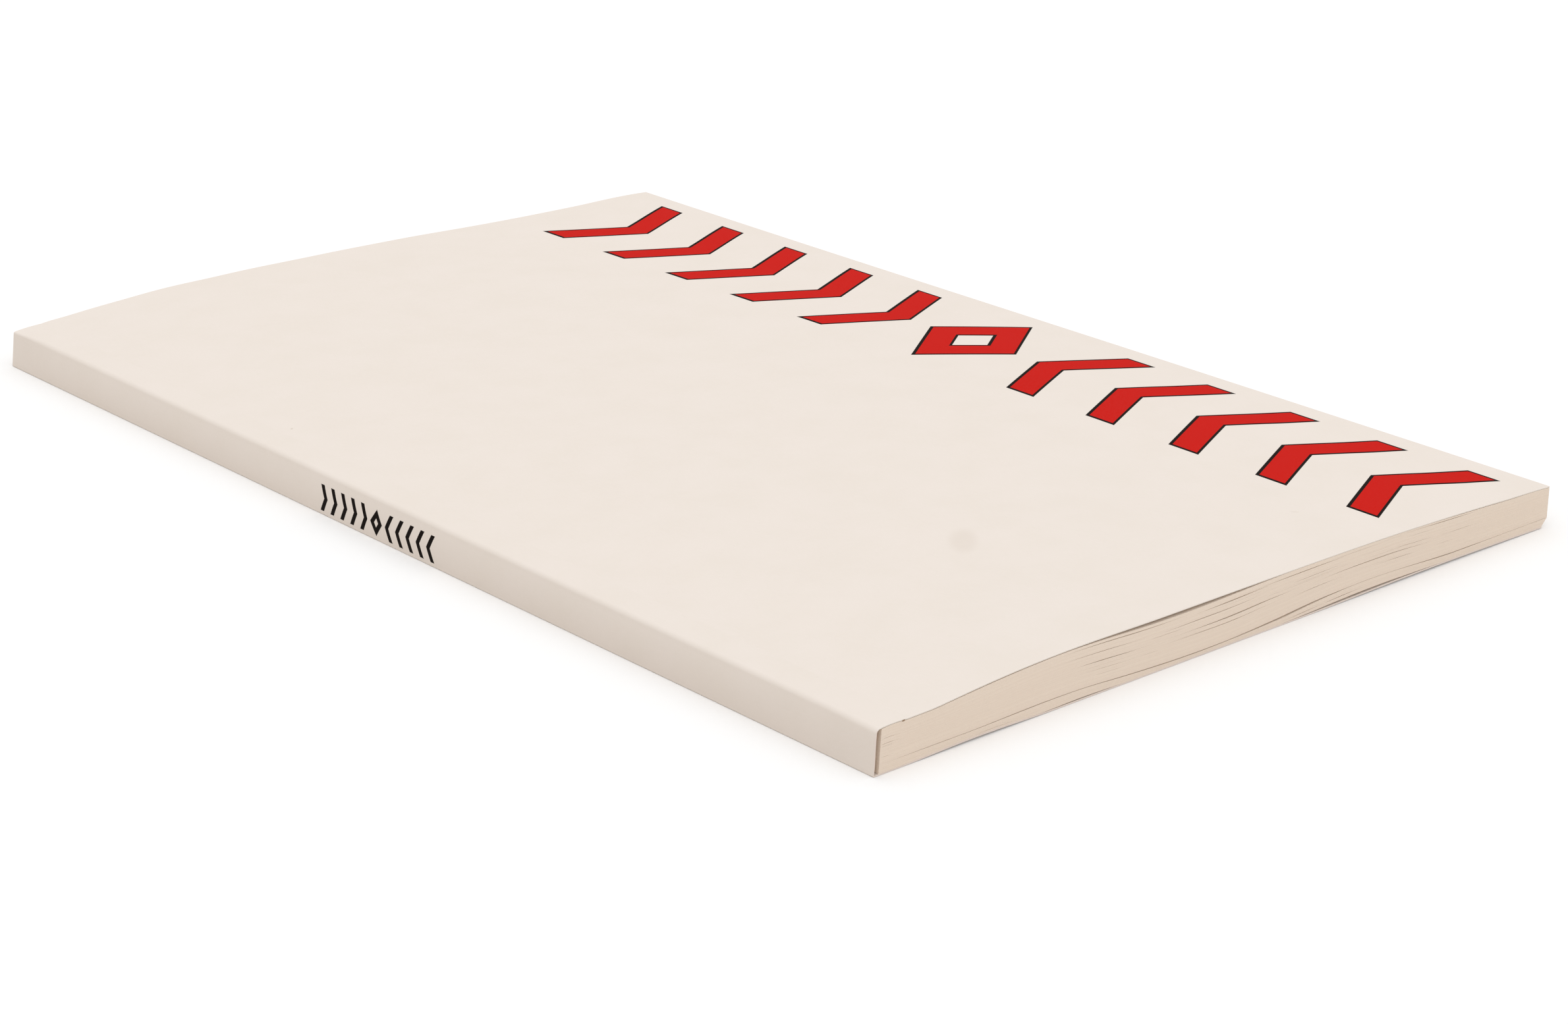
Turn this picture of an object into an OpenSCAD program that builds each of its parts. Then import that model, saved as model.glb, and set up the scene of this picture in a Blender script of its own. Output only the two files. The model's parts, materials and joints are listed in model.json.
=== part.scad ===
// Perfect-bound paperback, lying on its back cover.
// A block of leaves is glued into one wrap of card, and the card hinges on a score at each side of the spine.
// +X runs from the spine to the fore edge, +Y from the tail to the head, and +Z up.
// The origin is on the table, under the middle of the book.

/* [Book] */
// Height of the book, along the spine
book_h = 240; // [160:1:320]
// Width of the book, from the spine to the fore edge
book_w = 155; // [140:1:230]
// Thickness over both covers at the spine
spine_t = 7; // [5:0.25:20]
// How far the top of the spine leans towards the fore edge
spine_lean = 0.7; // [0:0.1:2]

/* [Cover card] */
// Thickness of the card
card_t = 0.25; // [0.2:0.05:0.6]
// Inner radius of the two folds along the spine
fold_r = 0.15; // [0.1:0.05:0.8]
// Width of the strip that is glued down beside the spine
strip_w = 6; // [4:0.5:10]
// Width of the score that a cover hinges on
score_w = 0.1; // [0.05:0.05:0.3]

/* [Bow of the front cover] */
// Rise of the bow over its two edges
bow_h = 2; // [0.5:0.1:5]
// Fullness of the bow towards the spine
bow_spine_power = 4; // [2:0.5:5]
// Fullness of the bow towards the fore edge
bow_fore_power = 3; // [2:0.5:5]

/* [Glue] */
// Thickness of the glue between the leaves and the spine card
glue_t = 0.7; // [0.3:0.1:1.5]
// Thickness of the glue film under the two strips
film_t = 0.1; // [0.05:0.05:0.3]
// How far the film stays back from the hinge
film_margin = 1; // [0.5:0.25:2]
// How far the glue stays below the head and the tail
glue_recess = 1.2; // [0.5:0.1:3]

/* [Leaves] */
// Thickness of the lower gathering, which lies apart from the rest
gathering_t = 1.4; // [0.5:0.1:2.5]
// How far the foot of that gathering slants in at the fore edge
foot_in = 1.3; // [0:0.1:3]
// Widest opening between the leaves and the bowed cover, over the film
front_gap = 0.35; // [0:0.05:1]
// Place of that opening, from the spine
front_gap_x = 67; // [60:1:90]
// Half the length of that opening
front_gap_l = 28; // [20:1:45]
// Sag of the lower gathering under that opening
gathering_sag = 0.75; // [0:0.05:1.2]
// Rise of the last leaves off the back cover
back_gap = 0.35; // [0:0.05:1.5]
// Swell of the lower gathering over that rise
gathering_swell = 0.4; // [0:0.05:1]
// Place of that rise, from the spine
back_gap_x = 106; // [80:1:112]
// Half the length of that rise
back_gap_l = 20; // [12:1:24]
// Widest opening of a parting between leaves
parting_t = 0.22; // [0.1:0.02:0.4]
// Depth of the partings below the head, tail and fore edge
parting_d = 6; // [2:0.5:15]
// Place where the long parting begins, from the spine
parting_x = 12; // [8:1:30]
// Length over which the long parting widens
parting_ramp = 20; // [5:1:40]

/* [Hidden] */

card_colour = [0.937, 0.898, 0.859];
leaf_colour = [0.878, 0.804, 0.737];
glue_colour = [0.58, 0.49, 0.40];

// Points along the bow, along the rise of the last leaves, along a parting and round a fold
bow_steps = 44;
rise_steps = 16;
parting_steps = 22;
fold_steps = 8;
// Overshoot of a cut past the edge that it opens
cut_over = 1;
// Share of its opening that the long parting starts with
parting_start = 0.02;
// Most of its thickness that the lower gathering can sag by
sag_limit = 0.6;

// Short partings, each [share of the height over the lower gathering, start and end as shares of the
// width, share of the widest opening]
partings = [
    [0.95, 0.25, 0.42, 0.55],
    [0.90, 0.44, 0.53, 0.55],
    [0.91, 0.55, 0.66, 0.55],
    [0.73, 0.39, 0.52, 0.45],
    [0.57, 0.27, 0.35, 0.45],
    [0.55, 0.40, 0.57, 0.70],
    [0.54, 0.63, 0.80, 0.70],
    [0.42, 0.40, 0.54, 0.45]
];

// The spine card: equal folds at foot and top, joined by their common tangent, which leans
outer_r = fold_r + card_t;
foot_centre = [outer_r, outer_r];
top_centre = [outer_r + spine_lean, spine_t - outer_r];
lean = atan2(spine_lean, spine_t - 2 * outer_r);

// The hinges, and the faces of the block of leaves at the spine
back_hinge_x = strip_w;
front_hinge_x = strip_w + spine_lean;
block_depth = card_t + glue_t;
block_foot_z = card_t + film_t;
block_top_z = spine_t - card_t - film_t;
back_fore_x = book_w - foot_in;

// X of the line that lies depth inside the spine's outer face, at height z
function inside_spine(depth, z) =
    outer_r - (outer_r - depth) / cos(lean) + tan(lean) * (z - outer_r);

function stations(from, to, count) = [for (i = [0:count]) from + (to - from) * i / count];

function arc(centre, r, from, to) =
    [for (a = stations(from, to, fold_steps)) centre + r * [cos(a), sin(a)]];

// A hump of height 1 that runs out smoothly at -1 and 1
function hump(v) = abs(v) < 1 ? pow(1 - v * v, 2) : 0;

// Rise of the bowed cover, from the front hinge to the fore edge
function bow_at(share) =
    1 - pow(abs(2 * share - 1), share < 0.5 ? bow_spine_power : bow_fore_power);
function bow(x) =
    bow_h * bow_at(max(0, min(1, (x - front_hinge_x) / (book_w - front_hinge_x))));

// Upper and lower faces of the leaves, and the line between two of them
function leaf_top(x) = block_top_z + bow(x) - front_gap * hump((x - front_gap_x) / front_gap_l);
function leaf_foot(x) = block_foot_z + back_gap * hump((x - back_gap_x) / back_gap_l);
function gathering_top(x) =
    leaf_foot(x) + gathering_t
    + gathering_swell * hump((x - back_gap_x) / back_gap_l)
    - min(gathering_sag, sag_limit * gathering_t) * hump((x - front_gap_x) / front_gap_l);
function leaf_line(share, x) =
    gathering_top(x) + share * (leaf_top(x) - gathering_top(x));

// Strip outline of the card round the spine, depth inside its outer face
function wrap(depth) = concat(
    arc(foot_centre, outer_r - depth, 270, 180 - lean),
    arc(top_centre, outer_r - depth, 180 - lean, 90)
);

function reversed(list) = [for (i = [len(list) - 1:-1:0]) list[i]];

// Extrudes a section, drawn as X and Z from the foot of the spine, between two heights of the book
module along_spine(from, to) {
    translate([-book_w / 2, to, 0])
        rotate([90, 0, 0])
            linear_extrude(to - from)
                children();
}

// A section over the full height of the book
module full_height() {
    along_spine(-book_h / 2, book_h / 2)
        children();
}

// A cut into the head and the tail
module head_and_tail() {
    along_spine(book_h / 2 - parting_d, book_h / 2 + cut_over)
        children();
    along_spine(-book_h / 2 - cut_over, -book_h / 2 + parting_d)
        children();
}

// The long parting over the lower gathering, from one place to another
module long_parting(from, to) {
    xs = stations(from, to, parting_steps);
    half = [for (x = xs) parting_t / 2 * min(1, max(parting_start, (x - parting_x) / parting_ramp))];
    upper = [for (i = [0:parting_steps]) [xs[i], gathering_top(xs[i]) + half[i]]];
    lower = [for (i = [0:parting_steps]) [xs[i], gathering_top(xs[i]) - half[i]]];
    polygon(concat(lower, reversed(upper)));
}

// A short parting, which closes at both ends
module short_parting(share, from, to, opening) {
    xs = stations(from, to, parting_steps);
    mid = (from + to) / 2;
    half = [for (x = xs) parting_t * opening / 2 * hump((x - mid) / (to - from) * 2)];
    upper = [for (i = [1:parting_steps - 1]) [xs[i], leaf_line(share, xs[i]) + half[i]]];
    lower = [for (i = [0:parting_steps]) [xs[i], leaf_line(share, xs[i]) - half[i]]];
    polygon(concat(lower, reversed(upper)));
}

// Section of the block of leaves: square at the glued spine, slanted at the foot of the fore edge
module block_section() {
    rise = stations(back_gap_x - back_gap_l, back_gap_x + back_gap_l, rise_steps);
    top = stations(book_w, front_hinge_x, bow_steps);
    polygon(concat(
        [[inside_spine(block_depth, block_foot_z), block_foot_z]],
        [for (x = rise) [x, leaf_foot(x)]],
        [[back_fore_x, block_foot_z]],
        [[book_w, gathering_top(book_w) - parting_t / 2]],
        [for (x = top) [x, leaf_top(x)]],
        [[inside_spine(block_depth, block_top_z), block_top_z]]
    ));
}

// The leaves, with the partings that show at their cut edges
module text_block() {
    color(leaf_colour)
        difference() {
            full_height()
                block_section();
            head_and_tail()
                long_parting(parting_x, book_w + cut_over);
            full_height()
                long_parting(book_w - parting_d, book_w + cut_over);
            for (p = partings)
                head_and_tail()
                    short_parting(p[0], p[1] * book_w, p[2] * book_w, p[3]);
        }
}

// Glue that fills between the square block and the folded card, with a film on the first and last leaf
module spine_glue() {
    color(glue_colour)
        along_spine(-book_h / 2 + glue_recess, book_h / 2 - glue_recess)
            polygon(concat(
                [[back_hinge_x - film_margin, card_t]],
                wrap(card_t),
                [
                    [front_hinge_x - film_margin, spine_t - card_t],
                    [front_hinge_x - film_margin, block_top_z],
                    [inside_spine(block_depth, block_top_z), block_top_z],
                    [inside_spine(block_depth, block_foot_z), block_foot_z],
                    [back_hinge_x - film_margin, block_foot_z]
                ]
            ));
}

// Spine panel of the card, folded round onto the first and last leaf
module cover_spine() {
    front_end = front_hinge_x - score_w / 2;
    back_end = back_hinge_x - score_w / 2;
    color(card_colour)
        full_height()
            polygon(concat(
                [[back_end, 0]],
                wrap(0),
                [[front_end, spine_t], [front_end, spine_t - card_t]],
                reversed(wrap(card_t)),
                [[back_end, card_t]]
            ));
}

// Front panel, bowed over the leaves
module front_cover() {
    xs = stations(front_hinge_x + score_w / 2, book_w, bow_steps);
    color(card_colour)
        full_height()
            polygon(concat(
                [for (x = xs) [x, spine_t - card_t + bow(x)]],
                reversed([for (x = xs) [x, spine_t + bow(x)]])
            ));
}

// Back panel, flat on the table
module back_cover() {
    start = back_hinge_x + score_w / 2;
    color(card_colour)
        full_height()
            translate([start, 0])
                square([back_fore_x - start, card_t]);
}

text_block();
spine_glue();
cover_spine();
front_cover();
back_cover();
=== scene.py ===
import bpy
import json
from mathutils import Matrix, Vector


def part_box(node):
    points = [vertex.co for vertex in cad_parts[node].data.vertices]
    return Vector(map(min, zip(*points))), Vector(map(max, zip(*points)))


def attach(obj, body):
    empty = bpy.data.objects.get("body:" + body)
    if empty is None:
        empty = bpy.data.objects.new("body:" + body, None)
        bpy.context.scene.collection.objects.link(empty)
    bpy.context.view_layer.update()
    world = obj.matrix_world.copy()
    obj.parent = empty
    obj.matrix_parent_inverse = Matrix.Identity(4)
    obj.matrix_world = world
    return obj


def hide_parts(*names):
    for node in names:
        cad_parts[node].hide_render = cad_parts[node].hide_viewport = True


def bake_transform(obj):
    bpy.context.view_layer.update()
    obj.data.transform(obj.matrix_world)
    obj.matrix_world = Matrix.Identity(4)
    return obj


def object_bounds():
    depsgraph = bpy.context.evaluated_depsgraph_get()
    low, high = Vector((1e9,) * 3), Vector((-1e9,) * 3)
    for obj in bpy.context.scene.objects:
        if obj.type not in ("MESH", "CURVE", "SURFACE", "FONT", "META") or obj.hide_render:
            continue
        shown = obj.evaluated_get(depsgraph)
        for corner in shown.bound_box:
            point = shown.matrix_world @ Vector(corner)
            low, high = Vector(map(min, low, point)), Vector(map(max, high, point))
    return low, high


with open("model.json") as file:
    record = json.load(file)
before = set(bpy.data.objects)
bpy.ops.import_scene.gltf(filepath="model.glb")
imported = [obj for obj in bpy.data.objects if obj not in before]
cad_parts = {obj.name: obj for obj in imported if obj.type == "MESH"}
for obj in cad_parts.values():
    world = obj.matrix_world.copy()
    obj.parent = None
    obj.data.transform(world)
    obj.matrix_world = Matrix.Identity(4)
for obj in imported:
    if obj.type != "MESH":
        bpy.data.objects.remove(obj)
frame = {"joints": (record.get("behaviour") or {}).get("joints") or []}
cadBox = [list(corner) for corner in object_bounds()]

import json
import math
import random

import bmesh
import bpy
import numpy as np
from mathutils import Matrix, Vector

# A perfect-bound paperback on its back cover. Lengths are millimetres from the outer foot of the spine
# (x, z) and from the middle of the height (y), and turn into the frame's metres when a mesh is made.
scene = bpy.context.scene
mm = 0.001
white = (1.0, 1.0, 1.0, 1.0)

spineLow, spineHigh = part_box("cover_spine")
backLow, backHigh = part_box("back_cover")
hingeAt = {joint["name"]: [place / mm for place in joint["pos_m"]] for joint in frame["joints"]}
halfWidth = (cadBox[1][0] - cadBox[0][0]) / mm / 2

book = {
    "width": 2 * halfWidth,
    "height": (cadBox[1][1] - cadBox[0][1]) / mm,
    "spine": (spineHigh.z - spineLow.z) / mm,
    "card": (backHigh.z - backLow.z) / mm,
    "frontHinge": hingeAt["front_cover_hinge"][0] + halfWidth,
    "backHinge": hingeAt["back_cover_hinge"][0] + halfWidth,
    "backFore": backHigh.x / mm + halfWidth,
    "footRadius": 0.2,  # outer radius of the fold at the foot of the spine
    "topRadius": 0.8,  # and of the fold at its top
    "headRadius": 0.3,  # of the top fold at the head, where it is tightest
    "headRun": 12,  # length over which the top fold tightens
    "leastRadius": 0.05,  # inside a fold
    "glue": 0.7,  # between the spine card and the leaves
    "film": 0.1,  # glue under the two strips
}
halfHeight = book["height"] / 2
leanOver = book["frontHinge"] - book["backHinge"]
lean = math.atan2(leanOver, book["spine"])

studio = {
    "eye": (-388.95, -450.50, 212.31),  # mm in the frame
    "azimuth": -41.65,
    "elevation": 20.764,
    "roll": -0.636,
    "lens": 80.9,
    "sensor": 36.0,
    "clip": (0.01, 50.0),
    "worldLevel": 0.88,
    "lampLevel": 0.40,
    "lampSpread": 100,  # degrees across the soft light
    "lampTilt": 10,  # degrees from overhead, towards the camera
    "floorSize": 8.0,  # metres
    "floorGap": 0.02,  # mm under the book
    "floorGlow": 0.08,  # lifts the open floor to white for the camera
    "floorShadow": 0.95,  # whiteness of the part that takes shadow
    "floorBounce": (0.62, 0.575, 0.53),  # colour that lights the book from below
}


def linear(red, green, blue):
    def one(value):
        share = value / 255
        return share / 12.92 if share <= 0.04045 else ((share + 0.055) / 1.055) ** 2.4
    return (one(red), one(green), one(blue), 1.0)


# A socket in a shader, so that values add and multiply as numbers do
class Wire:
    def __init__(self, tree, socket=None):
        self.tree = tree
        self.socket = socket

    def node(self, kind, settings=None, sockets=None, out=0):
        made = self.tree.nodes.new("ShaderNode" + kind)
        for name, value in (settings or {}).items():
            setattr(made, name, value)
        for name, value in (sockets or {}).items():
            if isinstance(value, Wire):
                self.tree.links.new(value.socket, made.inputs[name])
            else:
                made.inputs[name].default_value = value
        return Wire(self.tree, made.outputs[out] if len(made.outputs) else None)

    def other(self, name):
        return Wire(self.tree, self.socket.node.outputs[name])

    def math(self, operation, *values):
        return self.node("Math", {"operation": operation}, dict(enumerate(values)))

    def __add__(self, value):
        return self.math("ADD", self, value)

    __radd__ = __add__

    def __sub__(self, value):
        return self.math("SUBTRACT", self, value)

    def __rsub__(self, value):
        return self.math("SUBTRACT", value, self)

    def __mul__(self, value):
        return self.math("MULTIPLY", self, value)

    __rmul__ = __mul__

    def __mod__(self, value):
        return self.math("FLOORED_MODULO", self, value)

    def __abs__(self):
        return self.math("ABSOLUTE", self)

    def __neg__(self):
        return self.math("MULTIPLY", self, -1.0)

    def least(self, value):
        return self.math("MINIMUM", self, value)

    def most(self, value):
        return self.math("MAXIMUM", self, value)


def ease(value, low, high):
    span = {"Value": value, "From Min": low, "From Max": high}
    return value.node("MapRange", {"interpolation_type": "SMOOTHSTEP"}, span)


# 6 and 7 are a Mix node's colour inputs, and 2 is its colour output
def mixed(mask, first, second):
    return mask.node("Mix", {"data_type": "RGBA"}, {0: mask, 6: first, 7: second}, out=2)


# One colour that turns into another as a value goes over a span
def toned(value, span, first, second):
    return mixed(ease(value, *span), linear(*first), linear(*second))


def darkened(colour, share):
    return tuple(value * share for value in colour)


def stretched(place, factors):
    return place.node("VectorMath", {"operation": "MULTIPLY"}, {0: place, 1: factors})


def grain(place, scale, detail, roughness):
    values = {"Vector": place, "Scale": scale, "Detail": detail, "Roughness": roughness}
    return place.node("TexNoise", {}, values)


def startMaterial(name):
    material = bpy.data.materials.new(name)
    material.use_nodes = True
    material.node_tree.nodes.clear()
    return material, Wire(material.node_tree)


def placeInMm(pen):
    return stretched(pen.node("TexCoord", {}, {}, "Object"), (1 / mm,) * 3)


# The height is a grain, and the relief is how far it stands proud in mm
def paintSurface(pen, colour, height, roughness, shine, relief, strength):
    bump = pen.node("Bump", {}, {"Strength": strength, "Distance": relief * mm, "Height": height})
    paint = {"Base Color": colour, "Roughness": roughness, "Specular IOR Level": shine, "Normal": bump}
    surface = pen.node("BsdfPrincipled", {}, paint)
    pen.node("OutputMaterial", {}, {"Surface": surface})


def seenDirectly(pen):
    path = pen.node("LightPath")
    seen = path.other("Is Camera Ray") + path.other("Is Glossy Ray") + path.other("Is Transmission Ray")
    return seen.least(1.0)


def setCamera():
    azimuth = math.radians(studio["azimuth"])
    elevation = math.radians(studio["elevation"])
    roll = math.radians(studio["roll"])
    ahead = Vector((-math.sin(azimuth) * math.cos(elevation),
                    math.cos(azimuth) * math.cos(elevation),
                    -math.sin(elevation)))
    right = Vector((math.cos(azimuth), math.sin(azimuth), 0.0))
    down = ahead.cross(right)
    turnedRight = math.cos(roll) * right + math.sin(roll) * down
    turnedDown = -math.sin(roll) * right + math.cos(roll) * down
    lens = bpy.data.cameras.new("photoCamera")
    lens.lens = studio["lens"]
    lens.sensor_width = studio["sensor"]
    lens.clip_start, lens.clip_end = studio["clip"]
    camera = bpy.data.objects.new("photoCamera", lens)
    facing = Matrix((turnedRight, -turnedDown, -ahead)).transposed().to_4x4()
    camera.matrix_world = Matrix.Translation(Vector(studio["eye"]) * mm) @ facing
    scene.collection.objects.link(camera)
    scene.camera = camera


def setLight():
    world = bpy.data.worlds.new("studioWorld")
    world.use_nodes = True
    world.node_tree.nodes.clear()
    pen = Wire(world.node_tree)
    lit = pen.node("Background", {}, {"Color": white, "Strength": studio["worldLevel"]})
    shown = pen.node("Background", {}, {"Color": white, "Strength": 1.0})
    both = pen.node("MixShader", {}, {0: seenDirectly(pen), 1: lit, 2: shown})
    pen.node("OutputWorld", {}, {"Surface": both})
    scene.world = world
    lamp = bpy.data.lights.new("softLight", "SUN")
    lamp.energy = studio["lampLevel"]
    lamp.angle = math.radians(studio["lampSpread"])
    softLight = bpy.data.objects.new("softLight", lamp)
    softLight.rotation_euler = (math.radians(studio["lampTilt"]), 0.0, math.radians(studio["azimuth"]))
    scene.collection.objects.link(softLight)


def layFloor():
    material, pen = startMaterial("paleFloor")
    bounce = studio["floorBounce"] + (1.0,)
    shadow = (studio["floorShadow"],) * 3 + (1.0,)
    plain = pen.node("BsdfDiffuse", {}, {"Color": bounce})
    glow = pen.node("Emission", {}, {"Color": white, "Strength": studio["floorGlow"]})
    shaded = pen.node("BsdfDiffuse", {}, {"Color": shadow})
    shown = pen.node("AddShader", {}, {0: glow, 1: shaded})
    both = pen.node("MixShader", {}, {0: seenDirectly(pen), 1: plain, 2: shown})
    pen.node("OutputMaterial", {}, {"Surface": both})
    mesh = bpy.data.meshes.new("floor")
    half = studio["floorSize"] / 2
    corners = [(-half, -half, 0), (half, -half, 0), (half, half, 0), (-half, half, 0)]
    mesh.from_pydata(corners, [], [(0, 1, 2, 3)])
    mesh.materials.append(material)
    floor = bpy.data.objects.new("floor", mesh)
    floor.location.z = cadBox[0][2] - studio["floorGap"] * mm
    scene.collection.objects.link(floor)


scene.view_settings.view_transform = "Standard"
setCamera()
setLight()
layFloor()
print("studio: camera, light and floor set")


# Meshes are piles of patches, each a grid of points, welded where their borders meet
meshing = {
    "weldWithin": 1e-7,  # metres
    "sharpOver": 30,  # degrees
    "leastRun": 1e-9,  # for a side that has shrunk to a point
    "plainShade": 0.5,  # of what isn't a leaf
    "capScale": 0.012,  # share of the bake map for each mm of a cap
}


def newPile():
    return {"points": [], "faces": [], "slots": [], "shades": [], "flat": [], "bake": []}


def shares(points):
    steps = np.linalg.norm(np.diff(points, axis=0), axis=1)
    run = np.concatenate([[0.0], np.cumsum(steps)])
    return run / max(run[-1], meshing["leastRun"])


# box is the patch's place on the bake map: columns run along u and rows along v
def addPatch(pile, points, slot, box, flat=None, shade=meshing["plainShade"]):
    rows, columns = points.shape[:2]
    first = len(pile["points"])
    pile["points"].extend(points.reshape(-1, 3).tolist())
    u = box[0] + (box[2] - box[0]) * shares(points[rows // 2])
    v = box[1] + (box[3] - box[1]) * shares(points[:, columns // 2])
    sheet = np.zeros((rows, columns, 2)) if flat is None else flat
    for row in range(rows - 1):
        for column in range(columns - 1):
            corners = [(row, column), (row, column + 1), (row + 1, column + 1), (row + 1, column)]
            pile["faces"].append([first + r * columns + c for r, c in corners])
            pile["slots"].append(slot)
            pile["shades"].append(shade)
            for r, c in corners:
                pile["bake"].append((u[c], v[r]))
                pile["flat"].append(tuple(sheet[r, c]))
    return first


# One face over the end of a patch, with its corner on the bake map
def addCap(pile, indices, slot, corner):
    scale = meshing["capScale"]
    pile["faces"].append(indices)
    pile["slots"].append(slot)
    pile["shades"].append(meshing["plainShade"])
    for index in indices:
        x, y, z = pile["points"][index]
        pile["bake"].append((corner[0] + scale * x, corner[1] + scale * z))
        pile["flat"].append((0.0, 0.0))


def makePiece(name, pile, materials):
    points = np.array(pile["points"])
    points[:, 0] -= halfWidth
    mesh = bpy.data.meshes.new(name)
    mesh.from_pydata((points * mm).tolist(), [], pile["faces"])
    for layerName, key in (("OFBake", "bake"), ("sheet", "flat")):
        layer = mesh.uv_layers.new(name=layerName)
        layer.data.foreach_set("uv", np.array(pile[key]).ravel())
    mesh.polygons.foreach_set("material_index", pile["slots"])
    shade = mesh.attributes.new("leafShade", "FLOAT", "FACE")
    shade.data.foreach_set("value", pile["shades"])
    welded = bmesh.new()
    welded.from_mesh(mesh)
    bmesh.ops.remove_doubles(welded, verts=welded.verts, dist=meshing["weldWithin"])
    bmesh.ops.recalc_face_normals(welded, faces=welded.faces)
    welded.to_mesh(mesh)
    welded.free()
    for material in materials:
        mesh.materials.append(material)
    mesh.polygons.foreach_set("use_smooth", [True] * len(mesh.polygons))
    mesh.set_sharp_from_angle(angle=math.radians(meshing["sharpOver"]))
    mesh.update()
    piece = bpy.data.objects.new(name, mesh)
    scene.collection.objects.link(piece)
    return piece


def gridOf(xs, ys, zs):
    return np.stack(np.broadcast_arrays(xs, ys, zs), axis=-1).astype(float)


def smooth(share):
    held = np.clip(share, 0.0, 1.0)
    return held * held * (3 - 2 * held)


def hump(share):
    return np.where(np.abs(share) < 1, (1 - share * share) ** 2, 0.0)


# How the closed book lies. Waves and gaps are rows of middle, half length and rise
shape = {
    "rise": 2.0,  # of the front cover's bow
    "spinePower": 4.0,  # fullness of the bow, towards the spine and towards the fore edge
    "forePower": 3.0,
    "foldRise": (0.64, 0.20),  # of the top fold and the glued strip, at the tail and at the head
    "foldEnd": 4,  # from the spine to where that rise begins to run out
    "runOut": 9,  # length over which it does
    "shoulder": 2.4,  # length over which the strip slopes up from the fold
    "shoulderRise": 0.14,
    "cornerDrop": (0.22, 0.42),  # of the fold's two ends, at the tail and at the head
    "cornerRun": 9,  # along the fold
    "headDropEnd": 1,  # the drop at the head runs out from nearer the spine
    "twist": 0.4,  # the spine stands more upright at the tail
    "twistReach": 0.9,  # from the tail, as a share of the height
    "twistRun": 4,  # from the top fold
    "leafTwist": 0.5,  # share of the twist that the leaves take
    "footStays": 1.0,  # the lowest part of the spine panel doesn't rise with the cover
    "topFollows": 0.6,  # and the highest part rises as far as the cover does
    "bulge": 0.28,  # of the spine panel, between its straight ends
    "bulgePower": 10,
    "tailWaves": [(28, 36, 0.10), (36, 24, 0.24), (128, 16, -0.04), (156, 14, 0.34)],
    "tailReach": 0.8,  # from the tail, as a share of the height
    "headWaves": [(34, 11, 0.14), (74, 24, -0.27), (120, 50, -1.36), (149, 14, 0.20)],
    "headStart": 0.3,  # below the middle, as a share of half the height
    "frontGaps": [(26, 26, 0.11), (63, 27, 0.55), (138, 18, 0.05)],  # under the front cover
    "backGaps": [(107, 22, 0.37)],  # over the back cover
    "tailGaps": [(42, 10, 0.19)],  # over the back cover, at the tail alone
    "tailGapReach": 25,  # from the tail
    "backWaves": [(21, 17, 0.32), (126, 36, 0.32)],  # the back cover at the tail, off the table
    "backReach": 60,  # from the tail
    "closed": 0.018,  # between a cover and the leaves that lie on it
    "filmStart": 1.0,  # from the head and the tail to the glue under the strips
    "filmEnd": 5.5,  # from the spine to where the film begins to run out
    "filmRun": 4,  # length over which it does
    "seam": 1.67,  # height of the long parting
    "seamWaves": [(36, 17, 0.27), (69, 28, -0.84), (108, 23, 0.75)],
}


def bow(x):
    share = np.clip((x - book["frontHinge"]) / (book["width"] - book["frontHinge"]), 0, 1)
    power = np.where(share < 0.5, shape["spinePower"], shape["forePower"])
    return shape["rise"] * (1 - np.abs(2 * share - 1) ** power)


def waves(x, rows):
    return sum(rise * hump((x - middle) / half) for middle, half, rise in rows)


def nearTail(y, reach):
    return 1 - smooth((y + halfHeight) / reach)


def nearSpine(x, start, run):
    return 1 - smooth((x - start) / run)


def foldRise(x, y):
    run = (y + halfHeight) / book["height"]
    slope = np.minimum((x - book["topRadius"] - leanOver) / shape["shoulder"], 1.0)
    tailRise, headRise = shape["foldRise"]
    rise = tailRise + (headRise - tailRise) * run + shape["shoulderRise"] * (2 * slope - slope * slope)
    return rise * nearSpine(x, shape["foldEnd"], shape["runOut"])


def cornerDrop(x, y):
    tailDrop, headDrop = shape["cornerDrop"]
    tail = tailDrop * nearTail(y, shape["cornerRun"]) * nearSpine(x, shape["foldEnd"], shape["runOut"])
    head = headDrop * nearTail(-y, shape["cornerRun"]) * nearSpine(x, shape["headDropEnd"], shape["runOut"])
    return tail + head


# Rise of the front cover over its plain bow
def lift(x, y):
    start = shape["headStart"] * halfHeight
    towardsHead = smooth((y + start) / (halfHeight + start))
    tail = nearTail(y, shape["tailReach"] * book["height"]) * waves(x, shape["tailWaves"])
    return foldRise(x, y) - cornerDrop(x, y) + tail + towardsHead * waves(x, shape["headWaves"])


# Height of a point of the spine card or the glue: its foot stays down and its top follows the cover
def raised(x, y, z):
    span = book["spine"] - shape["footStays"] - shape["topFollows"]
    return z + lift(x, y) * np.clip((z - shape["footStays"]) / span, 0, 1)


# How far a point near the spine moves out, where the spine stands more upright
def twist(x, y, z):
    share = smooth(z / book["spine"]) * nearSpine(x, book["topRadius"] + leanOver, shape["twistRun"])
    return shape["twist"] * nearTail(y, shape["twistReach"] * book["height"]) * share


def coverTop(x, y):
    return book["spine"] + bow(x) + lift(x, y)


def backRise(x, y):
    return waves(x, shape["backWaves"]) * nearTail(y, shape["backReach"])


# Space between a cover and the leaves, which the glue film holds open beside the spine
def besideGlue(x, y):
    inside = smooth((halfHeight - np.abs(y)) / shape["filmStart"])
    film = (book["film"] - shape["closed"]) * nearSpine(x, shape["filmEnd"], shape["filmRun"])
    return shape["closed"] + film * inside


def leafTop(x, y):
    return coverTop(x, y) - book["card"] - besideGlue(x, y) - waves(x, shape["frontGaps"])


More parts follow.
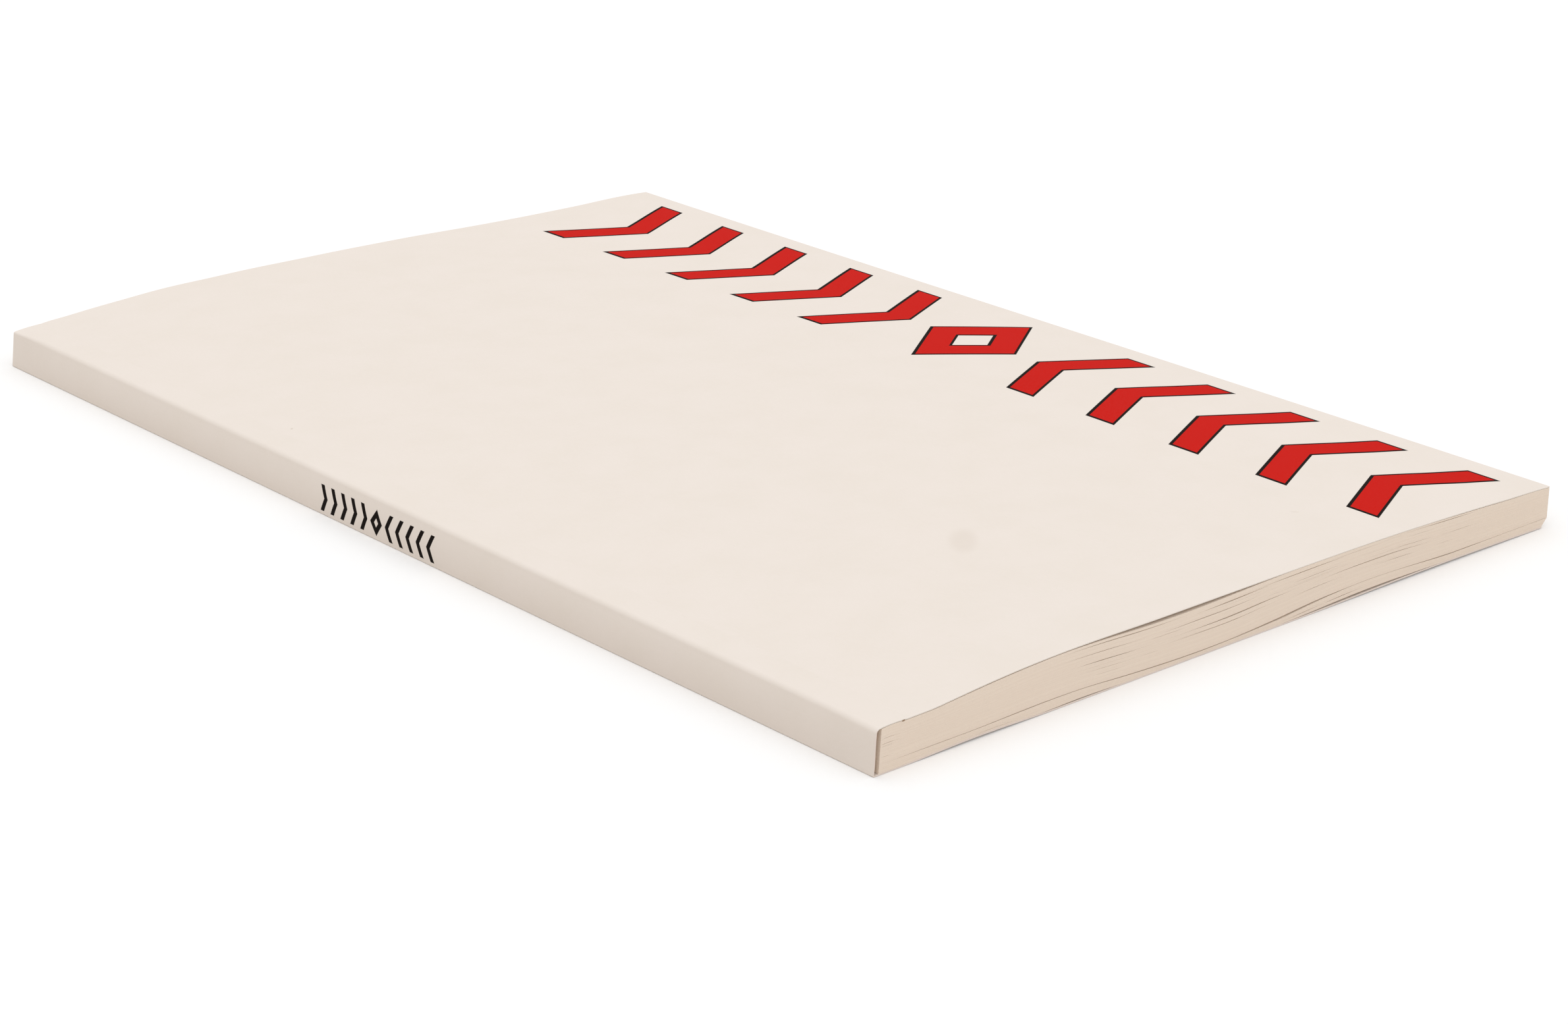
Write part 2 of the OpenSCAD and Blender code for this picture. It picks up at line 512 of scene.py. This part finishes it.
def leafFoot(x, y):
    gaps = waves(x, shape["backGaps"]) + waves(x, shape["tailGaps"]) * nearTail(y, shape["tailGapReach"])
    return book["card"] + backRise(x, y) + besideGlue(x, y) + gaps


# The long parting, over the lower gathering
def seamAt(x):
    return shape["seam"] + waves(x, shape["seamWaves"])


# Spine side of the leaves, at height z
def leafSpine(y, z):
    x = book["card"] + book["glue"] + math.tan(lean) * z
    return x - shape["leafTwist"] * twist(x, y, z)


def arc(centre, radius, start, end, count):
    angles = np.radians(np.linspace(start, end, count))
    return centre + radius * np.stack([np.cos(angles), np.sin(angles)], axis=-1)


# Points along the card round the spine, and where its foot fold begins and its top fold ends
pathPoints = {"under": 7, "fold": 11, "panel": 10, "strip": 17}
foldStart = pathPoints["under"]
stripStart = foldStart + 2 * pathPoints["fold"] + pathPoints["panel"] - 1


# Card round the spine, depth inside its outer face, from the back hinge to the front hinge
def spinePath(depth, y):
    foot = book["footRadius"]
    tighter = 1 - smooth((halfHeight - y) / book["headRun"])
    top = book["topRadius"] + (book["headRadius"] - book["topRadius"]) * tighter
    footCentre = np.array((foot, foot))
    topCentre = np.array((top + leanOver, book["spine"] - top))
    across, up = topCentre - footCentre
    tangent = math.atan2(up, across) + math.acos((foot - top) / math.hypot(across, up))
    upright = math.degrees(tangent)
    low = arc(footCentre, max(foot - depth, book["leastRadius"]), 270, upright, pathPoints["fold"])
    high = arc(topCentre, top - depth, upright, 90, pathPoints["fold"])
    climb = np.linspace(0, 1, pathPoints["panel"] + 2)[1:-1, None]
    straightEnds = 1 - (y / halfHeight) ** shape["bulgePower"]
    bulge = 4 * shape["bulge"] * straightEnds * climb * (1 - climb)
    outwards = np.array((math.cos(tangent), math.sin(tangent)))
    panel = low[-1] + climb * (high[0] - low[-1]) + bulge * outwards
    underXs = np.linspace(book["backHinge"], foot, pathPoints["under"] + 1)[:-1]
    stripXs = np.linspace(topCentre[0], book["frontHinge"], pathPoints["strip"] + 1)[1:]
    under = [(x, depth) for x in underXs]
    strip = [(x, book["spine"] - depth) for x in stripXs]
    x, z = np.concatenate([under, low, panel, high, strip]).T
    return np.stack([x - twist(x, y, z), y + 0 * x, raised(x, y, z)], axis=-1)


# Cover card: its stock, its print and its marks
cardStock = {
    "colour": (240, 230, 221),
    "cloud": (238, 228, 218),
    "inside": (240, 229, 219),
    "cutEdge": (254, 246, 238),
    "paintedShadeEdge": (246, 233, 224),  # painted shade: a cut edge darker than the plain one, for the back cover and the low part of the spine
    "fibreDark": 0.965,  # shade of the fibres, inside and at the cut edges
    "cloudGrain": (0.09, 4.0, 0.6),  # scale, detail and roughness of each grain
    "fibreGrain": (1.0, 3.0, 0.6),
    "fibreStretch": (2.2, 0.7, 1.0),
    "toothGrain": (3.2, 3.0, 0.65),
    "insideGrain": (0.8, 4.0, 0.65),
    "cutGrain": (5.0, 4.0, 0.65),
    "cloudSpan": (0.35, 0.7),  # of the grain, over which a colour turns
    "fibreSpan": (0.3, 0.75),
    "roughness": 0.85,
    "roughnessSpread": 0.1,
    "shine": 0.05,
    "plainShine": 0.15,  # inside and at the cut edges
    "tooth": 0.012,  # relief of the paper, and how strongly it shows
    "toothStrength": 0.35,
    "plainStrength": 0.4,
    "rim": 0.04,  # width of the worn arris
    "edgeStep": 0.15,  # of the grain, from line to line across a cut edge
    "columns": 49,  # stations up the book, for the spine and the front
    "rowsWithoutPaintedShade": 5,  # of the top fold, whose cut edge has no painted shade
    "outerBox": (0.005, 0.005, 0.995, 0.83),  # places on the bake map
    "innerBox": (0.005, 0.84, 0.995, 0.95),
    "edgeBox": (0.005, 0.96, 0.995, 0.995),
}
ornament = {
    "red": (207, 22, 11),
    "redWorn": (203, 23, 12),
    "wornSpan": (0.3, 0.75),
    "outlineColour": (22, 13, 9),
    "spineInk": (22, 16, 13),
    "gloss": 0.12,  # ink is this much smoother than the card
    "middle": (134.0, -2.5),  # across and along the front cover
    "half": 16.0,  # half width of a chevron and of the lozenge
    "stroke": 6.2,
    "outline": 0.58,
    "shift": 0.12,  # the red lies a little off its outline
    "slope": 0.5,  # of a chevron's arms
    "pitch": 19.8,  # from one chevron to the next
    "first": 14.5,  # from the middle to the chevrons
    "chevrons": 5,  # on each side
    "lozenge": 11.5,  # half length
    "softness": 0.05,  # of the ink's edge
    "spineScale": 0.146,  # of the same forms on the spine
    "spineAlong": 1.25,  # their middle, along the book and over the table
    "spineHeight": 3.1,
}
smudges = {
    "colour": (224, 212, 200),
    "edge": (1.3, 0.45),  # where a smudge begins and is full, in half sizes from its middle
    "ragged": 0.4,
    "rows": [  # across, along, half width, half length, turn in degrees, strength
        (58.3, -77.9, 2.4, 5.4, -45, 0.36),
        (8.9, 38.9, 0.22, 0.5, -45, 0.8),
        (109.3, -103.1, 0.3, 0.8, 40, 0.35),
    ],
}


# Signed distance to a row of chevrons that point at a lozenge, below zero inside
def ornamentDistance(across, along, scale):
    half = ornament["half"] * scale
    stroke = ornament["stroke"] * scale
    first = ornament["first"] * scale
    pitch = ornament["pitch"] * scale
    slope = ornament["slope"]
    length = ornament["lozenge"] * scale
    side = abs(along)
    reach = abs(across)
    cell = (side - first) % pitch - pitch / 2
    bar = abs(cell - (reach - half / 2) * slope) * math.cos(math.atan(slope)) - stroke / 2
    last = first + pitch * ornament["chevrons"]
    row = bar.most(reach - half).most(first - side).most(side - last)
    size = math.hypot(length, half)
    diamond = side * (half / size) + reach * (length / size) - length * half / size
    ring = diamond.most(-diamond - stroke)
    return row.least(ring)


# 1 inside a printed form and 0 outside it
def inked(distance):
    return ease(distance, ornament["softness"], -ornament["softness"])


def smudged(colour, across, along, fibre):
    for x, y, halfAcross, halfAlong, turn, strength in smudges["rows"]:
        angle = math.radians(turn)
        dx = across - x
        dy = along - y
        crossways = (dx * math.cos(angle) + dy * math.sin(angle)) * (1 / halfAcross)
        lengthways = (dy * math.cos(angle) - dx * math.sin(angle)) * (1 / halfAlong)
        away = across.math("SQRT", crossways * crossways + lengthways * lengthways)
        spot = ease(away + (fibre - 0.5) * smudges["ragged"], *smudges["edge"]) * strength
        colour = mixed(spot, colour, linear(*smudges["colour"]))
    return colour


def cardFace(name, printed=None):
    material, pen = startMaterial(name)
    flat = pen.node("UVMap", {"uv_map": "sheet"})
    across = pen.node("SeparateXYZ", {}, {"Vector": flat})
    along = across.other("Y")
    cloud = grain(flat, *cardStock["cloudGrain"])
    fibre = grain(stretched(flat, cardStock["fibreStretch"]), *cardStock["fibreGrain"])
    tooth = grain(flat, *cardStock["toothGrain"])
    tone = cloud * 0.7 + fibre * 0.3
    colour = toned(tone, cardStock["cloudSpan"], cardStock["colour"], cardStock["cloud"])
    roughness = cardStock["roughness"] + (tooth - 0.5) * cardStock["roughnessSpread"]
    if printed == "front":
        x = across - ornament["middle"][0]
        y = along - ornament["middle"][1]
        ink = inked(ornamentDistance(x, y, 1.0))
        inner = inked(ornamentDistance(x - ornament["shift"], y, 1.0) + ornament["outline"])
        worn = cloud * 0.4 + tooth * 0.6
        red = toned(worn, ornament["wornSpan"], ornament["red"], ornament["redWorn"])
        colour = smudged(colour, across, along, fibre)
        colour = mixed(ink, colour, linear(*ornament["outlineColour"]))
        colour = mixed(inner, colour, red)
    if printed == "spine":
        x = across - spineMiddle
        y = along - ornament["spineAlong"]
        ink = inked(ornamentDistance(x, y, ornament["spineScale"]))
        colour = mixed(ink, colour, linear(*ornament["spineInk"]))
    if printed:
        roughness = roughness - ink * ornament["gloss"]
    height = tooth * 0.6 + fibre * 0.4
    finish = (cardStock["shine"], cardStock["tooth"], cardStock["toothStrength"])
    paintSurface(pen, colour, height, roughness, *finish)
    return material


def plainCard(name, colour, fibreGrain):
    material, pen = startMaterial(name)
    flat = pen.node("UVMap", {"uv_map": "sheet"})
    fibre = grain(flat, *fibreGrain)
    shade = toned(fibre, cardStock["fibreSpan"], colour, darkened(colour, cardStock["fibreDark"]))
    finish = (cardStock["plainShine"], cardStock["tooth"], cardStock["plainStrength"])
    paintSurface(pen, shade, fibre, cardStock["roughness"], *finish)
    return material


# A closed card from its outer and inner faces. Rows run round the spine or away from it, columns up the
# book. Along its first rows the cut edge carries painted shade, a darker colour
def cardSheet(name, outer, inner, flat, cutEnd, face, paintedShadeRows=0):
    rim = cardStock["rim"]
    paints = [face, insideFace, cutFace, paintedShadeFace]

    def along(vectors):
        return vectors / np.linalg.norm(vectors, axis=-1, keepdims=True)

    def drawnIn(grid):
        small = grid.copy()
        if cutEnd:
            small[-1] += rim * along(grid[-2] - grid[-1])
        small[:, 0] += rim * along(grid[:, 1] - grid[:, 0])
        small[:, -1] += rim * along(grid[:, -2] - grid[:, -1])
        return small

    rows, columns = outer.shape[:2]
    loop = [(row, 0) for row in range(rows)]
    loop += [(rows - 1, column) for column in range(1, columns)]
    loop += [(row, columns - 1) for row in range(rows - 2, -1, -1)]
    loop += [(0, column) for column in range(columns - 2, -1, -1)]
    picked = tuple(np.array(loop).T)
    sunk = rim / book["card"]
    outerSmall = drawnIn(outer)
    innerSmall = drawnIn(inner)
    edge = np.stack([
        outerSmall[picked],
        (outer + (inner - outer) * sunk)[picked],
        (inner + (outer - inner) * sunk)[picked],
        innerSmall[picked],
    ])
    steps = cardStock["edgeStep"] * np.arange(len(edge))
    edgeFlat = flat[picked][None] + steps[:, None, None]
    pile = newPile()
    addPatch(pile, outerSmall, paints.index(face), cardStock["outerBox"], flat)
    addPatch(pile, innerSmall, paints.index(insideFace), cardStock["innerBox"], flat)
    addPatch(pile, edge, paints.index(cutFace), cardStock["edgeBox"], edgeFlat)
    # the first rows of the cut edge take the painted shade
    shadedOrPlainCut = [paintedShadeFace if row < paintedShadeRows else cutFace for row, column in loop[:-1]] * (len(edge) - 1)
    pile["slots"][-len(shadedOrPlainCut):] = [paints.index(paint) for paint in shadedOrPlainCut]
    return makePiece(name, pile, paints)


middlePath = spinePath(0.0, 0.0)
runRound = np.concatenate([[0.0], np.cumsum(np.linalg.norm(np.diff(middlePath, axis=0), axis=1))])
climbing = slice(foldStart, stripStart - 2)  # where the path's height grows
spineMiddle = float(np.interp(ornament["spineHeight"], middlePath[climbing, 2], runRound[climbing]))
insideFace = plainCard("cardInside", cardStock["inside"], cardStock["insideGrain"])
cutFace = plainCard("cardCut", cardStock["cutEdge"], cardStock["cutGrain"])
# painted shade: a darker colour for the cut edges low on the book
paintedShadeFace = plainCard("cardCutPaintedShade", cardStock["paintedShadeEdge"], cardStock["cutGrain"])


def makeSpineCard():
    ys = np.linspace(-halfHeight, halfHeight, cardStock["columns"])
    outer, inner = [np.stack([spinePath(depth, y) for y in ys], axis=1) for depth in (0.0, book["card"])]
    flat = gridOf(runRound[:, None], ys[None], 0.0)[..., :2]
    # the spine card's cut edge takes painted shade up to the last rows of its top fold
    paintedShadeRows = stripStart - cardStock["rowsWithoutPaintedShade"]
    piece = cardSheet("coverSpine", outer, inner, flat, False, cardFace("cardSpine", "spine"), paintedShadeRows)
    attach(piece, "bound_block")
    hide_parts("cover_spine")


panels = {
    "fold": 2.2,  # mm of card that bends at a score
    "foldStations": 25,
    "foldMargin": 1.1,  # the close stations run a little past the bend
    "frontStations": 70,
    "backStations": 50,
    "backColumns": 41,
}


def panelGrid(start, end, stations, columns):
    bend = np.linspace(start, start + panels["fold"] * panels["foldMargin"], panels["foldStations"])
    xs = np.concatenate([bend, np.linspace(bend[-1], end, stations)[1:]])
    return xs[:, None], np.linspace(-halfHeight, halfHeight, columns)[None]


def makeFrontCard():
    xs, ys = panelGrid(book["frontHinge"], book["width"], panels["frontStations"], cardStock["columns"])
    top = coverTop(xs, ys)
    outer = gridOf(xs, ys, top)
    inner = gridOf(xs, ys, top - book["card"])
    flat = gridOf(xs, ys, 0.0)[..., :2]
    piece = cardSheet("coverFront", outer, inner, flat, True, cardFace("cardFront", "front"))
    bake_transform(piece)
    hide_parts("front_cover")


def makeBackCard():
    xs, ys = panelGrid(book["backHinge"], book["backFore"], panels["backStations"], panels["backColumns"])
    under = backRise(xs, ys)
    outer = gridOf(xs, ys, under)
    inner = gridOf(xs, ys, under + book["card"])
    flat = gridOf(-xs, ys, 0.0)[..., :2]
    # the back cover's whole cut edge takes the painted shade
    piece = cardSheet("coverBack", outer, inner, flat, True, cardFace("cardBack"), len(xs))
    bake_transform(piece)
    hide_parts("back_cover")


makeSpineCard()
makeFrontCard()
makeBackCard()
print("cover: spine, front and back cards made")


leafStack = {
    "gathering": 13,  # leaves under the long parting
    "upper": 48,  # and over it
    "air": 0.003,  # least space between two leaves
    "ragged": 0.015,  # most that an edge is cut short
    "rags": 5,  # of a leaf: two along the tail, two along the head and one at the fore edge
    "seed": 11,
    "edgeLight": (251, 236, 220),
    "edgeDark": (248, 232, 216),
    "streakStretch": (0.07, 0.07, 8.0),
    "streakGrain": (1.0, 3.0, 0.6),  # scale, detail and roughness of each grain
    "fleckStretch": (1.2, 1.2, 9.0),
    "fleckGrain": (1.0, 2.0, 0.5),
    "edgeFinish": (0.9, 0.1, 0.02, 0.3),  # roughness, shine, and relief with its strength
    "page": (245, 231, 216),
    "pageDark": 0.985,  # shade of the fibres
    "cloudGrain": (0.12, 4.0, 0.6),
    "fibreStretch": (0.9, 2.4, 1.0),
    "fibreGrain": (1.0, 3.0, 0.6),
    "pageFinish": (0.88, 0.15, 0.01, 0.3),
    "toneSpan": (0.3, 0.7),  # of the grain, over which a colour turns
    # Stations across: close ones near the spine, and then even ones up to the fore edge
    "nearSpine": [1.4, 2.4, 3.2, 4.1, 5.2, book["frontHinge"], 8.2, 9.8, 11.6, 13.6, 16.0, 18.8],
    "evenStart": 21.5,
    "evenStations": 54,
    "inward": [0, shape["filmStart"], 6, 16, 50],  # stations from the tail and from the head
    "tailLines": [  # start and end across, height and opening of each short parting at the tail
        (38, 65, 8.02, 0.13), (38, 55, 6.83, 0.08), (41, 55, 5.38, 0.13), (43, 53, 4.05, 0.04),
        (45, 51, 3.15, 0.03), (68, 84, 7.50, 0.16), (83, 102, 7.95, 0.13), (59, 82, 6.28, 0.12),
        (57, 65, 5.80, 0.05), (65, 90, 5.10, 0.20), (61, 85, 4.10, 0.10), (54, 58, 3.62, 0.03),
        (89, 101, 6.70, 0.07), (96, 124, 5.69, 0.13), (114, 124, 6.05, 0.06), (90, 101, 4.58, 0.07),
        (111, 120, 4.53, 0.08), (118, 124, 7.28, 0.04), (122, 135, 7.88, 0.08), (126, 136, 5.47, 0.05),
        (125, 130, 4.10, 0.03), (98, 112, 8.15, 0.04), (19, 30, 0.80, 0.04), (89, 96, 0.90, 0.09),
        (97, 106, 1.37, 0.10),
    ],
    "spineNicks": [  # the same, at the glue
        (1.2, 4.6, 5.5, 0.05), (1.2, 4.4, 4.75, 0.06), (1.2, 4.0, 4.35, 0.04), (1.2, 3.4, 2.7, 0.04),
    ],
    "lineHalf": 0.55,  # from a parting's middle to where it shuts, as a share of the listed length
    "lineDepth": 20,  # most that a parting reaches in
    "headShift": 6,  # partings at the head lie further out and lower than at the tail
    "headLeaves": 3,
    "seamOpening": [(12, 11, 0.03), (30, 14, 0.09), (62, 30, 0.11), (90, 16, 0.27), (128, 13, 0.12)],
    "seamClosed": 0.045,  # the long parting's opening between those
    "seamStart": 12,  # length over which the long parting opens from the spine
    "seamDepth": 70,  # from the head and the tail to where it is narrowest
    "seamInside": 0.3,  # share of the opening that is left there
    "fineLines": 14,  # at the tail and at the head, each at a chance share of the height
    "fineShare": (0.35, 0.97),
    "fineMiddle": (46, 126),
    "fineHalf": (4, 12),
    "fineOpening": (0.012, 0.028),
    "fineDepth": 14,
    "foreLines": 16,  # at the fore edge
    "foreFirst": 2,  # the lowest and the highest opening have none
    "foreMiddle": (-30, 60),
    "foreHalf": (15, 70),
    "foreOpening": (0.02, 0.05),
    "foreDepth": 12,
    "topBox": (0.005, 0.86, 0.3, 0.995),  # places on the bake map: first page, last page, hidden pages
    "underBox": (0.31, 0.86, 0.61, 0.995),
    "hiddenBox": (0.62, 0.86, 0.99, 0.99),
    "edgeBoxes": [  # left, foot, right and height, for the tail, the head, the fore edge and the spine
        (0.005, 0.01, 0.995, 0.28), (0.005, 0.3, 0.995, 0.28),
        (0.005, 0.59, 0.8, 0.25), (0.82, 0.59, 0.99, 0.25),
    ],
    "edgeShare": 0.9,  # of a leaf's strip there
}


def leafEdgePaint():
    material, pen = startMaterial("leafEdges")
    place = placeInMm(pen)
    streak = grain(stretched(place, leafStack["streakStretch"]), *leafStack["streakGrain"])
    fleck = grain(stretched(place, leafStack["fleckStretch"]), *leafStack["fleckGrain"])
    shade = pen.node("Attribute", {"attribute_name": "leafShade"}, {}, "Fac")
    tone = streak * 0.5 + fleck * 0.2 + shade * 0.3
    colour = toned(tone, leafStack["toneSpan"], leafStack["edgeDark"], leafStack["edgeLight"])
    paintSurface(pen, colour, fleck, *leafStack["edgeFinish"])
    return material


def pagePaint():
    material, pen = startMaterial("pagePaper")
    place = placeInMm(pen)
    cloud = grain(place, *leafStack["cloudGrain"])
    fibre = grain(stretched(place, leafStack["fibreStretch"]), *leafStack["fibreGrain"])
    darker = darkened(leafStack["page"], leafStack["pageDark"])
    colour = toned(cloud * 0.4 + fibre * 0.6, leafStack["toneSpan"], leafStack["page"], darker)
    paintSurface(pen, colour, fibre, *leafStack["pageFinish"])
    return material


# Leaf that lies at a height of the tail
def leafAt(x, z):
    lower = leafStack["gathering"]
    tail = np.array(-halfHeight)
    foot, seam, top = [float(value) for value in (leafFoot(x, tail), seamAt(x), leafTop(x, tail))]
    if z < seam:
        return max(1, round((z - foot) / (seam - foot) * lower))
    return lower + max(1, round((z - seam) / (top - seam) * leafStack["upper"]))


# Openings under each leaf, from the cut edges inwards
def leafGaps(x, y, chance):
    lower = leafStack["gathering"]
    count = lower + leafStack["upper"]
    gaps = np.zeros((count, x.shape[0], y.shape[1]))
    fromTail = y + halfHeight
    fromHead = halfHeight - y
    fromFore = book["width"] - x

    def part(index, opening, distance, depth):
        gaps[min(max(index, 1), count - 1)] += opening * smooth(1 - distance / depth)

    for start, end, z, opening in leafStack["tailLines"] + leafStack["spineNicks"]:
        middle = (start + end) / 2
        half = leafStack["lineHalf"] * (end - start)
        index = leafAt(np.array(middle), z)
        depth = min(leafStack["lineDepth"], 2 * half)
        part(index, opening * hump((x - middle) / half), fromTail, depth)
        headIndex = index - leafStack["headLeaves"]
        headMiddle = middle + leafStack["headShift"]
        if headIndex > lower:
            part(headIndex, opening * hump((x - headMiddle) / half), fromHead, depth)
    for edge in (fromTail, fromHead):
        for line in range(leafStack["fineLines"]):
            index = lower + int(leafStack["upper"] * chance.uniform(*leafStack["fineShare"]))
            middle = chance.uniform(*leafStack["fineMiddle"])
            half = chance.uniform(*leafStack["fineHalf"])
            opening = chance.uniform(*leafStack["fineOpening"])
            part(index, opening * hump((x - middle) / half), edge, leafStack["fineDepth"])
    for line in range(leafStack["foreLines"]):
        middle = chance.uniform(*leafStack["foreMiddle"])
        half = chance.uniform(*leafStack["foreHalf"])
        index = chance.randint(leafStack["foreFirst"], count - leafStack["foreFirst"])
        opening = chance.uniform(*leafStack["foreOpening"])
        part(index, opening * hump((y - middle) / half), fromFore, leafStack["foreDepth"])
    inside = leafStack["seamInside"]
    ends = smooth(1 - np.minimum(fromTail, fromHead) / leafStack["seamDepth"]) * (1 - inside) + inside
    seam = leafStack["seamClosed"] + waves(x, leafStack["seamOpening"])
    gaps[lower] = smooth(x / leafStack["seamStart"]) * seam * ends
    return gaps


# One face of a leaf, from the heights of its points: square at the glue, slanted at the foot of the fore
# edge, and cut a little short by its rags
def leafFace(xs, ys, z, rags):
    tailIn, tailOut, headIn, headOut, fore = rags
    x = np.repeat(xs, ys.shape[1], axis=1)
    y = np.repeat(ys, xs.shape[0], axis=0)
    slantFoot = book["card"] + book["film"]
    slant = (book["width"] - book["backFore"]) / (shape["seam"] - slantFoot)
    x[0] = leafSpine(y[0], z[0])
    x[-1] = np.minimum(book["width"], book["backFore"] + (z[-1] - slantFoot) * slant) - fore
    run = np.linspace(0, 1, xs.shape[0])
    y[:, 0] += tailIn + (tailOut - tailIn) * run
    y[:, -1] -= headIn + (headOut - headIn) * run
    return np.stack([x, y, z], axis=-1)


def makeLeaves():
    chance = random.Random(leafStack["seed"])
    lower = leafStack["gathering"]
    count = lower + leafStack["upper"]
    even = np.linspace(leafStack["evenStart"], book["width"], leafStack["evenStations"])
    xs = np.array(leafStack["nearSpine"] + list(even))[:, None]
    inward = np.array(leafStack["inward"])
    ys = np.concatenate([-halfHeight + inward, [0.0], halfHeight - inward[::-1]])[None]
    gaps = leafGaps(xs, ys, chance)
    foot = leafFoot(xs, ys)
    seam = seamAt(xs) + 0 * ys
    halfSeam = gaps[lower] / 2
    lowThick = (seam - foot - halfSeam - gaps[1:lower].sum(0)) / lower
    highThick = (leafTop(xs, ys) - seam - halfSeam - gaps[lower + 1:].sum(0)) / leafStack["upper"]
    paints = [pagePaint(), leafEdgePaint()]
    pageSlot, edgeSlot = range(len(paints))
    sides = [np.s_[:, 0], np.s_[:, -1], np.s_[-1], np.s_[0]]
    pile = newPile()
    level = foot.copy()
    for leaf in range(count):
        thick = lowThick if leaf < lower else highThick
        if leaf == lower:
            level = seam + halfSeam
        elif leaf > 0:
            level = level + gaps[leaf]
        rags = [chance.uniform(0, leafStack["ragged"]) for rag in range(leafStack["rags"])]
        under = leafFace(xs, ys, level, rags)
        over = leafFace(xs, ys, level + thick - leafStack["air"], rags)
        shade = chance.random()
        overBox = leafStack["topBox" if leaf == count - 1 else "hiddenBox"]
        underBox = leafStack["underBox" if leaf == 0 else "hiddenBox"]
        addPatch(pile, over, pageSlot, overBox, shade=shade)
        addPatch(pile, under, pageSlot, underBox, shade=shade)
        low = leaf / count
        high = (leaf + leafStack["edgeShare"]) / count
        for side, (left, base, right, tall) in zip(sides, leafStack["edgeBoxes"]):
            box = (left, base + tall * low, right, base + tall * high)
            addPatch(pile, np.stack([under[side], over[side]]), edgeSlot, box, shade=shade)
        level = level + thick
    piece = makePiece("leaves", pile, paints)
    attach(piece, "bound_block")
    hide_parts("text_block")
    print("leaves:", count, "made,", len(piece.data.polygons), "faces")


makeLeaves()


# Glue, which fills between the square block and the folded card
glueLine = {
    "recess": 1.2,  # below the head and the tail
    "uneven": 0.25,  # most that an end lies above or below that
    "stations": 25,  # up the book
    "stripStations": 6,  # along the film under the front strip
    "margin": 1.0,  # the films stay back from the hinges
    "colour": (164, 138, 110),
    "deep": (138, 110, 85),
    "cloudGrain": (0.9, 3.0, 0.6),  # scale, detail and roughness
    "toneSpan": (0.3, 0.7),  # of the grain, over which the colour turns
    "finish": (0.45, 0.4, 0.05, 0.5),  # roughness, shine, and relief with its strength
    "bead": (5.7, 0.5, 0.28, 0.2),  # x, and half sizes of a bead squeezed out at the tail
    "beadIn": (0.2, 0.02),  # from the tail, and over the leaves
    "beadTurns": 17,
    "beadRises": 9,
    "seed": 5,
    "wrapBox": (0.005, 0.005, 0.8, 0.995),  # places on the bake map
    "capCorners": [(0.85, 0.1), (0.85, 0.5)],
    "beadBox": (0.82, 0.9, 0.99, 0.99),
}


def gluePaint():
    material, pen = startMaterial("amberGlue")
    cloud = grain(placeInMm(pen), *glueLine["cloudGrain"])
    colour = toned(cloud, glueLine["toneSpan"], glueLine["colour"], glueLine["deep"])
    paintSurface(pen, colour, cloud, *glueLine["finish"])
    return material


def glueBead():
    x, halfX, halfY, halfZ = glueLine["bead"]
    fromTail, overLeaves = glueLine["beadIn"]
    y = -halfHeight + fromTail
    z = float(leafTop(np.array(x), np.array(-halfHeight))) + overLeaves
    turns = np.linspace(0, 2 * math.pi, glueLine["beadTurns"])
    rises = np.linspace(-math.pi / 2, math.pi / 2, glueLine["beadRises"])
    bead = np.array([[(x + halfX * math.cos(rise) * math.cos(turn),
                       y + halfY * math.cos(rise) * math.sin(turn),
                       z + halfZ * math.sin(rise)) for turn in turns] for rise in rises])
    bead[:, -1] = bead[:, 0]
    bead[0] = bead[0, 0]
    bead[-1] = bead[-1, 0]
    return bead


def makeGlue():
    chance = random.Random(glueLine["seed"])
    reach = halfHeight - glueLine["recess"]
    ys = np.linspace(-reach, reach, glueLine["stations"])
    backEnd = book["backHinge"] - glueLine["margin"]
    frontEnd = book["frontHinge"] - glueLine["margin"]
    footZ = book["card"] + book["film"]
    topZ = book["spine"] - book["card"]
    filmZ = topZ - book["film"]

    def line(x, z):
        return gridOf(x, ys, raised(x, ys, z))

    wrapped = np.stack([spinePath(book["card"], y) for y in ys], axis=1)[foldStart:stripStart + 1]
    stripXs = np.linspace(book["topRadius"] + leanOver, frontEnd, glueLine["stripStations"] + 1)[1:]
    rows = [line(backEnd, book["card"])] + list(wrapped) + [line(x, topZ) for x in stripXs]
    rows += [line(x, filmZ) for x in stripXs[::-1]] + [line(leafSpine(ys, z), z) for z in (filmZ, footZ)]
    rows += [line(backEnd, footZ)]
    grid = np.stack(rows + rows[:1])
    for row in range(len(rows)):
        for end in (0, -1):
            grid[row, end, 1] += chance.uniform(-glueLine["uneven"], glueLine["uneven"])
    grid[-1] = grid[0]
    pile = newPile()
    first = addPatch(pile, grid, 0, glueLine["wrapBox"])
    for end, corner in zip((0, len(ys) - 1), glueLine["capCorners"]):
        addCap(pile, [first + row * len(ys) + end for row in range(len(rows))], 0, corner)
    addPatch(pile, glueBead(), 0, glueLine["beadBox"])
    piece = makePiece("glue", pile, [gluePaint()])
    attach(piece, "bound_block")
    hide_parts("spine_glue")
    print("glue: made")


makeGlue()
